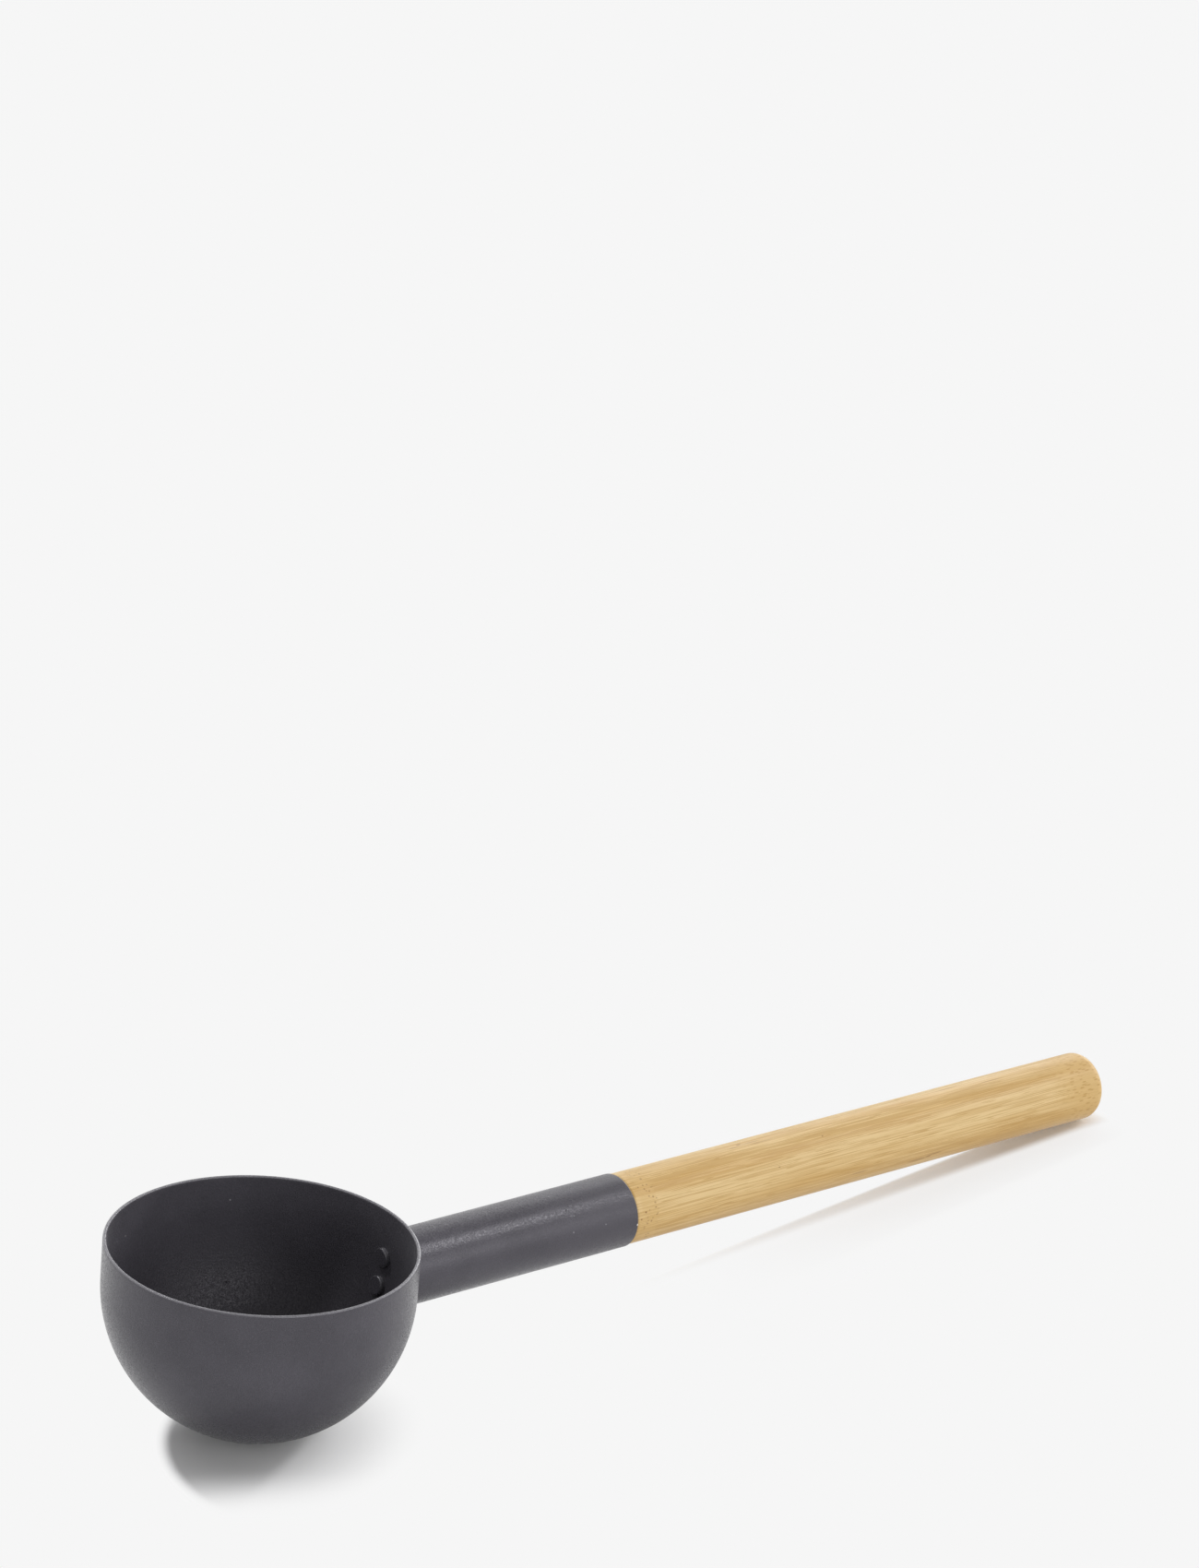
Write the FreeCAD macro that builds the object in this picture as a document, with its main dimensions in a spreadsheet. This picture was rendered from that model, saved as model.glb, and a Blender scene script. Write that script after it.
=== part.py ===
import FreeCAD, Part
import math
import os
import Sketcher

# A long-handled ladle: a round-bottomed metal bowl, a metal socket riveted to the
# bowl's side, and a turned bamboo handle whose tenon is glued into the socket.
# Each piece is drawn about the centre of the bowl's hemisphere, with the bowl's own
# axis up and the handle along +X, and is then tipped by the angle at which the bowl
# and the end of the handle both lie on the ground.

os.makedirs("parts", exist_ok=True)
doc = FreeCAD.newDocument("ladle")

# The driving sizes, in millimetres.
SIZES = [
    ("bowl_radius", 50.0, "outside of the bowl: straight band and hemisphere alike"),
    ("bowl_wall", 1.2, "thickness of the bowl"),
    ("straight_band", 14.2, "height of the straight band between hemisphere and rim"),
    ("lip_round", 0.5, "rounding of the rim, outside and inside"),
    ("axis_below_rim", 22.1, "from the rim's plane down to the handle's axis"),
    ("socket_radius", 12.5, "outside of the socket"),
    ("socket_wall", 1.4, "thickness of the socket's tube"),
    ("socket_reach", 95.2, "from the bowl's wall to the socket's mouth"),
    ("socket_end_wall", 2.0, "dished wall that closes the socket against the bowl"),
    ("mouth_round", 0.4, "rounding of the socket's mouth"),
    ("tenon_length", 70.0, "length of handle inside the socket"),
    ("tenon_clearance", 0.1, "glue gap around the tenon, on the radius"),
    ("tenon_chamfer", 1.0, "chamfer at the tenon's tip"),
    ("grip_radius", 12.1, "outside of the bamboo"),
    ("grip_length", 218.4, "from the socket's mouth to the handle's end"),
    ("end_round", 4.5, "rounding of the handle's end"),
    ("rivet_pitch", 10.2, "between the rivets, along the bowl's outside"),
    ("rivet_rise", 0.6, "middle of the two rivets above the handle's axis"),
    ("head_radius", 3.25, "rivet's head, inside the bowl"),
    ("head_height", 1.5, "rivet's head above the bowl's inner wall"),
    ("head_round", 0.5, "rounding of the head's and the tail's rim"),
    ("shank_radius", 2.0, "rivet's shank"),
    ("shank_clearance", 0.05, "gap around the shank, on the radius"),
    ("tail_radius", 3.0, "rivet's closed end, inside the socket"),
    ("tail_height", 1.3, "rivet's closed end beyond the socket's end wall"),
]

sheet = doc.addObject("Spreadsheet::Sheet", "sizes")
for row, (alias, number, note) in enumerate(SIZES, start=1):
    sheet.set(f"A{row}", alias)
    sheet.set(f"B{row}", str(number))
    sheet.set(f"C{row}", note)
    sheet.setAlias(f"B{row}", alias)
doc.recompute()

# Sizes that follow from the driving ones, as formulas.
AXIS_DROP = "(sizes.axis_below_rim - sizes.straight_band)"
INNER_RADIUS = "(sizes.bowl_radius - sizes.bowl_wall)"
DISH_RADIUS = "(sizes.bowl_radius + sizes.socket_end_wall)"
BORE_RADIUS = "(sizes.socket_radius - sizes.socket_wall)"
TENON_RADIUS = f"({BORE_RADIUS} - sizes.tenon_clearance)"
MOUTH = "(sizes.bowl_radius + sizes.socket_reach)"
TENON_TIP = f"({MOUTH} - sizes.tenon_length)"
HANDLE_END = f"({MOUTH} + sizes.grip_length)"
HOLE_RADIUS = "(sizes.shank_radius + sizes.shank_clearance)"
HEAD_FACE = f"({INNER_RADIUS} - sizes.head_height)"
TAIL_FACE = f"({DISH_RADIUS} + sizes.tail_height)"
RIVET_STEP = "(sizes.rivet_pitch / sizes.bowl_radius * 1 rad)"
UPPER_RIVET = (
    f"(asin({AXIS_DROP} / sizes.bowl_radius) - sizes.rivet_rise / sizes.bowl_radius * 1 rad"
    f" - {RIVET_STEP} / 2)"
)

# The rounding of the handle's end lies on the ground together with the bowl.
END_CORE = "(sizes.grip_radius - sizes.end_round)"
REST_DROP = f"({AXIS_DROP} + {END_CORE})"
REST_REACH = f"({HANDLE_END} - sizes.end_round)"
REST_FALL = "(sizes.bowl_radius - sizes.end_round)"
REST_ANGLE = (
    f"(asin({REST_FALL} / sqrt({REST_DROP} ^ 2 + {REST_REACH} ^ 2))"
    f" - atan({REST_DROP} / {REST_REACH}))"
)
FAR_EDGE = (
    f"({REST_REACH} * cos({REST_ANGLE}) + ({END_CORE} - {AXIS_DROP}) * sin({REST_ANGLE})"
    " + sizes.end_round)"
)


def value(formula):
    """The number that a formula gives with the sheet's sizes."""
    result = sheet.evalExpression(formula)
    return float(getattr(result, "Value", result))


def origin_feature(body, role):
    for feature in body.Origin.OriginFeatures:
        if feature.Role == role:
            return feature
    raise ValueError(role)


def upright_sketch(body, name):
    """A sketch in the upright plane through the bowl's axis and the handle's."""
    sketch = body.newObject("Sketcher::SketchObject", name)
    sketch.AttachmentSupport = [(origin_feature(body, "XZ_Plane"), "")]
    sketch.MapMode = "FlatFace"
    return sketch


def handle_sketch(body, name):
    """The same plane, measured from the handle's axis."""
    sketch = upright_sketch(body, name)
    sketch.setExpression(".AttachmentOffset.Base.y", f"-{AXIS_DROP}")
    return sketch


def rivet_sketch(body, name):
    """The same plane, turned down until its first axis is the upper rivet's."""
    sketch = upright_sketch(body, name)
    down = FreeCAD.Rotation(FreeCAD.Vector(0, 0, -1), value(UPPER_RIVET))
    sketch.AttachmentOffset = FreeCAD.Placement(FreeCAD.Vector(), down)
    sketch.setExpression(".AttachmentOffset.Rotation.Angle", UPPER_RIVET)
    return sketch


def line(x1, y1, x2, y2):
    return Part.LineSegment(FreeCAD.Vector(x1, y1, 0), FreeCAD.Vector(x2, y2, 0))


def arc(x, y, radius, start, end):
    circle = Part.Circle(FreeCAD.Vector(x, y, 0), FreeCAD.Vector(0, 0, 1), radius)
    return Part.ArcOfCircle(circle, start, end)


def rule(sketch, kind, *refs):
    sketch.addConstraint(Sketcher.Constraint(kind, *refs))


def size(sketch, kind, name, formula, *refs):
    """A dimension of a sketch, bound to the sheet."""
    index = sketch.addConstraint(Sketcher.Constraint(kind, *refs, value(formula)))
    sketch.renameConstraint(index, name)
    sketch.setExpression(f"Constraints.{name}", formula)


def revolved(body, sketch, kind, name, axis):
    """Turns a section about one of its sketch's axes, and sees that it did something."""
    before = body.Shape.Volume if body.Tip else 0.0
    feature = body.newObject(kind, name)
    feature.Profile = sketch
    feature.ReferenceAxis = (sketch, [axis])
    feature.Angle = 360.0
    doc.recompute()
    change = feature.Shape.Volume - before
    if (kind == "PartDesign::Groove") == (change >= 0.0):
        raise ValueError(f"{name} changes the volume by {change}")
    return feature


def twice_down_the_wall(body, feature, name):
    """Repeats a rivet, or its hole, one pitch further down the bowl's wall."""
    before = body.Shape.Volume
    pattern = body.newObject("PartDesign::PolarPattern", name)
    pattern.Originals = [feature]
    pattern.Axis = (origin_feature(body, "Y_Axis"), [""])
    pattern.Occurrences = 2
    pattern.setExpression("Angle", RIVET_STEP)
    body.Tip = pattern
    doc.recompute()
    if abs(body.Shape.Volume - before) < 1.0:
        raise ValueError(f"{name} adds no copy")


def bowl_core(body, name):
    """Half section of everything inside the bowl's outer face."""
    r = value("sizes.bowl_radius")
    band = value("sizes.straight_band")
    sketch = upright_sketch(body, name)
    sketch.addGeometry(arc(0, 0, r, 1.5 * math.pi, 2 * math.pi))
    sketch.addGeometry(line(r, 0, r, band))
    sketch.addGeometry(line(r, band, 0, band))
    sketch.addGeometry(line(0, band, 0, -r))
    rule(sketch, "Coincident", 0, 3, -1, 1)
    rule(sketch, "PointOnObject", 0, 1, -2)
    rule(sketch, "PointOnObject", 0, 2, -1)
    rule(sketch, "Coincident", 0, 2, 1, 1)
    rule(sketch, "Vertical", 1)
    rule(sketch, "Coincident", 1, 2, 2, 1)
    rule(sketch, "Horizontal", 2)
    rule(sketch, "PointOnObject", 2, 2, -2)
    rule(sketch, "Coincident", 2, 2, 3, 1)
    rule(sketch, "Coincident", 3, 2, 0, 1)
    size(sketch, "Radius", "radius", "sizes.bowl_radius", 0)
    size(sketch, "DistanceY", "band", "sizes.straight_band", -1, 1, 1, 2)
    return sketch


def rivet_hole(body, name):
    """Half section of a hole as long as the rivet."""
    start = value(HEAD_FACE)
    end = value(TAIL_FACE)
    r = value(HOLE_RADIUS)
    sketch = rivet_sketch(body, name)
    sketch.addGeometry(line(start, 0, end, 0))
    sketch.addGeometry(line(end, 0, end, r))
    sketch.addGeometry(line(end, r, start, r))
    sketch.addGeometry(line(start, r, start, 0))
    for side in range(4):
        rule(sketch, "Coincident", side, 2, (side + 1) % 4, 1)
    rule(sketch, "PointOnObject", 0, 1, -1)
    rule(sketch, "Horizontal", 0)
    rule(sketch, "Vertical", 1)
    rule(sketch, "Horizontal", 2)
    rule(sketch, "Vertical", 3)
    size(sketch, "DistanceX", "start", HEAD_FACE, -1, 1, 0, 1)
    size(sketch, "DistanceX", "end", TAIL_FACE, -1, 1, 0, 2)
    size(sketch, "DistanceY", "radius", HOLE_RADIUS, 1, 1, 1, 2)
    return sketch


def new_body(name):
    """A piece in the bowl's own upright frame, laid down by the resting tilt."""
    body = doc.addObject("PartDesign::Body", name)
    body.Label = name
    tilt = FreeCAD.Rotation(FreeCAD.Vector(0, 1, 0), value(REST_ANGLE))
    body.Placement = FreeCAD.Placement(FreeCAD.Vector(), tilt)
    body.setExpression(".Placement.Rotation.Angle", REST_ANGLE)
    body.setExpression(".Placement.Base.x", f"(sizes.bowl_radius - {FAR_EDGE}) / 2")
    body.setExpression(".Placement.Base.z", "sizes.bowl_radius")
    return body


# The bowl: a hemisphere under a straight band, of even wall, with a rounded lip and
# two rivet holes.
bowl = new_body("bowl")
outer = value("sizes.bowl_radius")
inner = value(INNER_RADIUS)
band = value("sizes.straight_band")
LIP = "min(sizes.lip_round; sizes.bowl_wall * 0.45)"
lip = value(LIP)
section = upright_sketch(bowl, "bowl_section")
section.addGeometry(arc(0, 0, outer, 1.5 * math.pi, 2 * math.pi))
section.addGeometry(line(outer, 0, outer, band - lip))
section.addGeometry(arc(outer - lip, band - lip, lip, 0, 0.5 * math.pi))
section.addGeometry(line(outer - lip, band, inner + lip, band))
section.addGeometry(arc(inner + lip, band - lip, lip, 0.5 * math.pi, math.pi))
section.addGeometry(line(inner, band - lip, inner, 0))
section.addGeometry(arc(0, 0, inner, 1.5 * math.pi, 2 * math.pi))
section.addGeometry(line(0, -inner, 0, -outer))
rule(section, "Coincident", 0, 3, -1, 1)
rule(section, "Coincident", 6, 3, -1, 1)
rule(section, "PointOnObject", 0, 1, -2)
rule(section, "PointOnObject", 0, 2, -1)
rule(section, "PointOnObject", 6, 1, -2)
rule(section, "PointOnObject", 6, 2, -1)
rule(section, "Coincident", 0, 2, 1, 1)
rule(section, "Vertical", 1)
rule(section, "Tangent", 1, 2, 2, 1)
rule(section, "Tangent", 2, 2, 3, 1)
rule(section, "Horizontal", 3)
rule(section, "Tangent", 3, 2, 4, 1)
rule(section, "Tangent", 4, 2, 5, 1)
rule(section, "Vertical", 5)
rule(section, "Coincident", 5, 2, 6, 2)
rule(section, "Coincident", 6, 1, 7, 1)
rule(section, "Coincident", 7, 2, 0, 1)
rule(section, "Equal", 2, 4)
size(section, "Radius", "outside", "sizes.bowl_radius", 0)
size(section, "Radius", "inside", INNER_RADIUS, 6)
size(section, "Radius", "lip", LIP, 2)
size(section, "DistanceY", "band", "sizes.straight_band", -1, 1, 3, 1)
revolved(bowl, section, "PartDesign::Revolution", "bowl_wall", "V_Axis")
hole = revolved(bowl, rivet_hole(bowl, "bowl_hole_section"), "PartDesign::Groove", "bowl_hole", "H_Axis")
twice_down_the_wall(bowl, hole, "bowl_holes")

# The hollow of the socket: as wide as its bore, with a dished end that keeps an even
# wall against the bowl.
hollow = doc.addObject("PartDesign::Body", "socket_hollow")
reach = value(MOUTH)
bore = value(BORE_RADIUS)
section = handle_sketch(hollow, "hollow_section")
section.addGeometry(line(0, 0, reach, 0))
section.addGeometry(line(reach, 0, reach, bore))
section.addGeometry(line(reach, bore, 0, bore))
section.addGeometry(line(0, bore, 0, 0))
for side in range(4):
    rule(section, "Coincident", side, 2, (side + 1) % 4, 1)
rule(section, "Coincident", 0, 1, -1, 1)
rule(section, "Horizontal", 0)
rule(section, "Vertical", 1)
rule(section, "Horizontal", 2)
rule(section, "Vertical", 3)
size(section, "DistanceX", "reach", MOUTH, 0, 1, 0, 2)
size(section, "DistanceY", "radius", BORE_RADIUS, 1, 1, 1, 2)
revolved(hollow, section, "PartDesign::Revolution", "hollow_bore", "H_Axis")
dish_radius = value(DISH_RADIUS)
dish = upright_sketch(hollow, "hollow_dish")
dish.addGeometry(arc(0, 0, dish_radius, -0.5 * math.pi, 0.5 * math.pi))
dish.addGeometry(line(0, dish_radius, 0, -dish_radius))
rule(dish, "Coincident", 0, 3, -1, 1)
rule(dish, "PointOnObject", 0, 1, -2)
rule(dish, "PointOnObject", 0, 2, -2)
rule(dish, "Coincident", 0, 2, 1, 1)
rule(dish, "Coincident", 1, 2, 0, 1)
size(dish, "Radius", "radius", DISH_RADIUS, 0)
revolved(hollow, dish, "PartDesign::Groove", "hollow_end", "V_Axis")

# The socket: a tube with a rounded mouth, whose closed end is cut to the bowl's
# outside so that it seats on it face to face.
socket = new_body("handle_socket")
radius = value("sizes.socket_radius")
MOUTH_ROUND = "min(sizes.mouth_round; sizes.socket_wall * 0.8)"
edge = value(MOUTH_ROUND)
section = handle_sketch(socket, "socket_section")
section.addGeometry(line(0, 0, reach, 0))
section.addGeometry(line(reach, 0, reach, radius - edge))
section.addGeometry(arc(reach - edge, radius - edge, edge, 0, 0.5 * math.pi))
section.addGeometry(line(reach - edge, radius, 0, radius))
section.addGeometry(line(0, radius, 0, 0))
rule(section, "Coincident", 0, 1, -1, 1)
rule(section, "Horizontal", 0)
rule(section, "Coincident", 0, 2, 1, 1)
rule(section, "Vertical", 1)
rule(section, "Tangent", 1, 2, 2, 1)
rule(section, "Tangent", 2, 2, 3, 1)
rule(section, "Horizontal", 3)
rule(section, "Coincident", 3, 2, 4, 1)
rule(section, "Vertical", 4)
rule(section, "Coincident", 4, 2, 0, 1)
size(section, "DistanceX", "reach", MOUTH, 0, 1, 0, 2)
size(section, "DistanceY", "radius", "sizes.socket_radius", 4, 2, 4, 1)
size(section, "Radius", "edge", MOUTH_ROUND, 2)
revolved(socket, section, "PartDesign::Revolution", "socket_rod", "H_Axis")
saddle = bowl_core(socket, "saddle_section")
revolved(socket, saddle, "PartDesign::Groove", "socket_saddle", "V_Axis")
solid_volume = socket.Shape.Volume
bored = socket.newObject("PartDesign::Boolean", "socket_bore")
bored.Type = "Cut"
bored.setObjects([hollow])
doc.recompute()
if bored.Shape.Volume > solid_volume / 2:
    raise ValueError("the socket is not hollow")
hole = revolved(
    socket, rivet_hole(socket, "socket_hole_section"), "PartDesign::Groove", "socket_hole", "H_Axis"
)
twice_down_the_wall(socket, hole, "socket_holes")

# The rivets: flat heads seated on the bowl's inner wall, shanks through both walls, and
# closed ends seated on the socket's dished end wall. Both point at the centre of the
# bowl's hemisphere.
rivets = new_body("rivets")
rivets.AllowCompound = True
head_face = value(HEAD_FACE)
tail_face = value(TAIL_FACE)
head = value("sizes.head_radius")
shank = value("sizes.shank_radius")
tail = value("sizes.tail_radius")
HEAD_ROUND = "min(sizes.head_round; min(sizes.head_height; sizes.tail_height) * 0.5)"
edge = value(HEAD_ROUND)


def on_sphere(radius, height):
    return math.sqrt(radius ** 2 - height ** 2)


head_seat = math.asin(head / inner)
shank_seat = math.asin(shank / inner)
shank_end = math.asin(shank / dish_radius)
tail_seat = math.asin(tail / dish_radius)
section = rivet_sketch(rivets, "rivet_section")
section.addGeometry(line(head_face, 0, head_face, head - edge))
section.addGeometry(arc(head_face + edge, head - edge, edge, 0.5 * math.pi, math.pi))
section.addGeometry(line(head_face + edge, head, on_sphere(inner, head), head))
section.addGeometry(arc(0, 0, inner, shank_seat, head_seat))
section.addGeometry(line(on_sphere(inner, shank), shank, on_sphere(dish_radius, shank), shank))
section.addGeometry(arc(0, 0, dish_radius, shank_end, tail_seat))
section.addGeometry(line(on_sphere(dish_radius, tail), tail, tail_face - edge, tail))
section.addGeometry(arc(tail_face - edge, tail - edge, edge, 0, 0.5 * math.pi))
section.addGeometry(line(tail_face, tail - edge, tail_face, 0))
section.addGeometry(line(tail_face, 0, head_face, 0))
rule(section, "PointOnObject", 0, 1, -1)
rule(section, "Vertical", 0)
rule(section, "Tangent", 0, 2, 1, 2)
rule(section, "Tangent", 1, 1, 2, 1)
rule(section, "Horizontal", 2)
rule(section, "Coincident", 2, 2, 3, 2)
rule(section, "Coincident", 3, 3, -1, 1)
rule(section, "Coincident", 3, 1, 4, 1)
rule(section, "Horizontal", 4)
rule(section, "Coincident", 4, 2, 5, 1)
rule(section, "Coincident", 5, 3, -1, 1)
rule(section, "Coincident", 5, 2, 6, 1)
rule(section, "Horizontal", 6)
rule(section, "Tangent", 6, 2, 7, 2)
rule(section, "Tangent", 7, 1, 8, 1)
rule(section, "Vertical", 8)
rule(section, "PointOnObject", 8, 2, -1)
rule(section, "Coincident", 8, 2, 9, 1)
rule(section, "Coincident", 9, 2, 0, 1)
rule(section, "Equal", 1, 7)
size(section, "DistanceX", "head_face", HEAD_FACE, -1, 1, 0, 1)
size(section, "DistanceX", "tail_face", TAIL_FACE, -1, 1, 8, 2)
size(section, "DistanceY", "head", "sizes.head_radius", -1, 1, 2, 2)
size(section, "DistanceY", "shank", "sizes.shank_radius", -1, 1, 4, 1)
size(section, "DistanceY", "tail", "sizes.tail_radius", -1, 1, 6, 1)
size(section, "Radius", "bowl_seat", INNER_RADIUS, 3)
size(section, "Radius", "dish_seat", DISH_RADIUS, 5)
size(section, "Radius", "edge", HEAD_ROUND, 1)
rivet = revolved(rivets, section, "PartDesign::Revolution", "rivet", "H_Axis")
twice_down_the_wall(rivets, rivet, "rivet_pair")

# The handle: bamboo turned round, with a tenon in the socket, a shoulder against the
# socket's mouth and a well rounded end.
handle = new_body("bamboo_handle")
tip = value(TENON_TIP)
end = value(HANDLE_END)
grip = value("sizes.grip_radius")
tenon = value(TENON_RADIUS)
chamfer = value("sizes.tenon_chamfer")
END_ROUND = "sizes.end_round"
edge = value(END_ROUND)
section = handle_sketch(handle, "handle_section")
section.addGeometry(line(tip, 0, end, 0))
section.addGeometry(line(end, 0, end, grip - edge))
section.addGeometry(arc(end - edge, grip - edge, edge, 0, 0.5 * math.pi))
section.addGeometry(line(end - edge, grip, reach, grip))
section.addGeometry(line(reach, grip, reach, tenon))
section.addGeometry(line(reach, tenon, tip + chamfer, tenon))
section.addGeometry(line(tip + chamfer, tenon, tip, tenon - chamfer))
section.addGeometry(line(tip, tenon - chamfer, tip, 0))
rule(section, "PointOnObject", 0, 1, -1)
rule(section, "Horizontal", 0)
rule(section, "Coincident", 0, 2, 1, 1)
rule(section, "Vertical", 1)
rule(section, "Tangent", 1, 2, 2, 1)
rule(section, "Tangent", 2, 2, 3, 1)
rule(section, "Horizontal", 3)
rule(section, "Coincident", 3, 2, 4, 1)
rule(section, "Vertical", 4)
rule(section, "Coincident", 4, 2, 5, 1)
rule(section, "Horizontal", 5)
rule(section, "Coincident", 5, 2, 6, 1)
rule(section, "Coincident", 6, 2, 7, 1)
rule(section, "Vertical", 7)
rule(section, "Coincident", 7, 2, 0, 1)
size(section, "DistanceX", "tip", TENON_TIP, -1, 1, 0, 1)
size(section, "DistanceX", "mouth", MOUTH, -1, 1, 3, 2)
size(section, "DistanceX", "end", HANDLE_END, -1, 1, 0, 2)
size(section, "DistanceY", "grip", "sizes.grip_radius", -1, 1, 3, 2)
size(section, "DistanceY", "tenon", TENON_RADIUS, -1, 1, 5, 1)
size(section, "DistanceX", "chamfer_length", "sizes.tenon_chamfer", 6, 2, 6, 1)
size(section, "DistanceY", "chamfer_depth", "sizes.tenon_chamfer", 6, 2, 6, 1)
size(section, "Radius", "edge", END_ROUND, 2)
revolved(handle, section, "PartDesign::Revolution", "handle_turning", "H_Axis")

doc.recompute()
for item in doc.Objects:
    if "Invalid" in item.State or "Error" in item.State:
        raise ValueError(f"{item.Name} is {item.State}")
    if item.isDerivedFrom("Sketcher::SketchObject") and item.solve() != 0:
        raise ValueError(f"{item.Name} does not solve")

SOLIDS = {"bowl": 1, "handle_socket": 1, "rivets": 2, "bamboo_handle": 1}
for body in (bowl, socket, rivets, handle):
    shape = body.Shape
    if shape.isNull() or not shape.isValid() or len(shape.Solids) != SOLIDS[body.Label]:
        raise ValueError(f"{body.Label} is not sound")
for body in (bowl, socket, rivets, handle):
    shape = body.Shape
    shape.exportStep(f"parts/{body.Label}.step")
    box = shape.BoundBox
    print(body.Label, len(shape.Solids), "solids", round(shape.Volume, 1), "mm3",
          [round(number, 2) for number in (box.XMin, box.XMax, box.YMin, box.YMax, box.ZMin, box.ZMax)])
print("resting tilt", round(value(REST_ANGLE), 3), "degrees")
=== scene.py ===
import math

import bmesh
import bpy
from mathutils import Matrix, Vector


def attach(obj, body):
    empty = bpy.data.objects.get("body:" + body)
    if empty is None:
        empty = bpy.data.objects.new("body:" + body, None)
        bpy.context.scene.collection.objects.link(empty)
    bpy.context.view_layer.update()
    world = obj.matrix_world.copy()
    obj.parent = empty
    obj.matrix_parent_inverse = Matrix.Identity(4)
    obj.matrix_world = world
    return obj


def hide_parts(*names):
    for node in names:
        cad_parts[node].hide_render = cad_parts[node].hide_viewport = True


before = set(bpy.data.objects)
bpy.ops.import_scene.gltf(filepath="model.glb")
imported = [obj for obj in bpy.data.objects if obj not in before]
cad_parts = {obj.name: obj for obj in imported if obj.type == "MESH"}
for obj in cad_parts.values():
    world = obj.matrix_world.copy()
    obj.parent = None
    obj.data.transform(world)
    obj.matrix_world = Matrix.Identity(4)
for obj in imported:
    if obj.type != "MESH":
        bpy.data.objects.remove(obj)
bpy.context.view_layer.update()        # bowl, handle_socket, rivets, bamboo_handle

mm = 0.001
fullTurn = 2 * math.pi
quarterTurn = 0.25 * fullTurn
seamGap = 0.0005                       # vertices closer than this are joined, in millimetres

# the ladle is modelled upright about the middle of its round bottom, then laid down:
# X runs along the handle and Z up the bowl's axis, both in millimetres until it is laid down
ladle = dict(
    tilt=math.radians(4.80091),        # how far the bowl leans once the handle's end is down
    centre=Vector((-156.1575, 0, 50)) * mm,
    handleDrop=7.9,                    # the handle's axis runs this far below the round's middle
)
layDown = (Matrix.Translation(ladle["centre"]) @ Matrix.Rotation(ladle["tilt"], 4, "Y")
           @ Matrix.Scale(mm, 4))


# helpers for meshes

def swing(bm, start, centre, angle, steps):
    # draws an arc from one vertex about a centre in the XZ plane, and gives its last vertex
    out = bmesh.ops.spin(bm, geom=[start], cent=(centre[0], 0, centre[1]), axis=(0, 1, 0),
                         angle=angle, steps=steps, use_merge=False, use_duplicate=False)
    return [v for v in out["geom_last"] if isinstance(v, bmesh.types.BMVert)][0]


def run(bm, start, to, steps=1):
    # draws a straight run of even edges from one vertex, and gives its last vertex
    step = (Vector((to[0], 0, to[1])) - start.co) / steps
    last = start
    for _ in range(steps):
        new = bmesh.ops.extrude_vert_indiv(bm, verts=[last])["verts"][0]
        new.co = last.co + step
        last = new
    return last


def turnAbout(bm, centre, axis, steps):
    # spins everything drawn so far right round, and closes the seam and the poles
    bmesh.ops.spin(bm, geom=bm.verts[:] + bm.edges[:], cent=centre, axis=axis, angle=fullTurn,
                   steps=steps, use_merge=True, use_duplicate=False)
    bmesh.ops.remove_doubles(bm, verts=bm.verts, dist=seamGap)
    bmesh.ops.recalc_face_normals(bm, faces=bm.faces)


def finishPiece(name, bm, material):
    bm.transform(layDown)
    mesh = bpy.data.meshes.new(name)
    bm.to_mesh(mesh)
    bm.free()
    mesh.shade_smooth()
    mesh.materials.append(material)
    piece = bpy.data.objects.new(name, mesh)
    bpy.context.scene.collection.objects.link(piece)
    print("made", name, len(mesh.polygons), "faces")
    return piece


# helpers for materials

def newMaterial(name):
    material = bpy.data.materials.new(name)
    material.use_nodes = True
    tree = material.node_tree
    return material, tree, tree.nodes["Principled BSDF"]


def add(tree, kind, inputs=None, **settings):
    # one node, its settings, and its inputs: a socket is linked, anything else is a value
    node = tree.nodes.new(kind)
    for setting, value in settings.items():
        setattr(node, setting, value)
    for socket, value in (inputs or {}).items():
        if isinstance(value, bpy.types.NodeSocket):
            tree.links.new(value, node.inputs[socket])
        else:
            node.inputs[socket].default_value = value
    return node


def compute(tree, operation, a, b=0.0):
    return add(tree, "ShaderNodeMath", {0: a, 1: b}, operation=operation).outputs[0]


def plus(tree, a, b):
    return compute(tree, "ADD", a, b)


def minus(tree, a, b):
    return compute(tree, "SUBTRACT", a, b)


def times(tree, a, b):
    return compute(tree, "MULTIPLY", a, b)


def strongest(tree, masks):
    # the strongest of several masks at each point
    out = masks[0]
    for mask in masks[1:]:
        out = compute(tree, "MAXIMUM", out, mask)
    return out


def together(tree, masks):
    # only where all of several masks are
    out = masks[0]
    for mask in masks[1:]:
        out = times(tree, out, mask)
    return out


def measure(tree, operation, a, b=(0, 0, 0)):
    # a length, a distance or a dot product
    return add(tree, "ShaderNodeVectorMath", {0: a, 1: b}, operation=operation).outputs["Value"]


def axisOf(tree, vector, axis):
    return add(tree, "ShaderNodeSeparateXYZ", {"Vector": vector}).outputs[axis]


def noise(tree, vector, scale, detail=2.0, roughness=0.5):
    return add(tree, "ShaderNodeTexNoise", {
        "Vector": vector, "Scale": scale, "Detail": detail, "Roughness": roughness}).outputs["Fac"]


def sway(tree, value, size):
    # a noise, which stays about a half, turned into a shift to both sides
    return times(tree, minus(tree, value, 0.5), size)


def ramp(tree, value, low, high, toLow=0.0, toHigh=1.0, smooth=True):
    return add(tree, "ShaderNodeMapRange", {
        "Value": value, "From Min": low, "From Max": high, "To Min": toLow, "To Max": toHigh},
        interpolation_type="SMOOTHSTEP" if smooth else "LINEAR").outputs["Result"]


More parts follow.
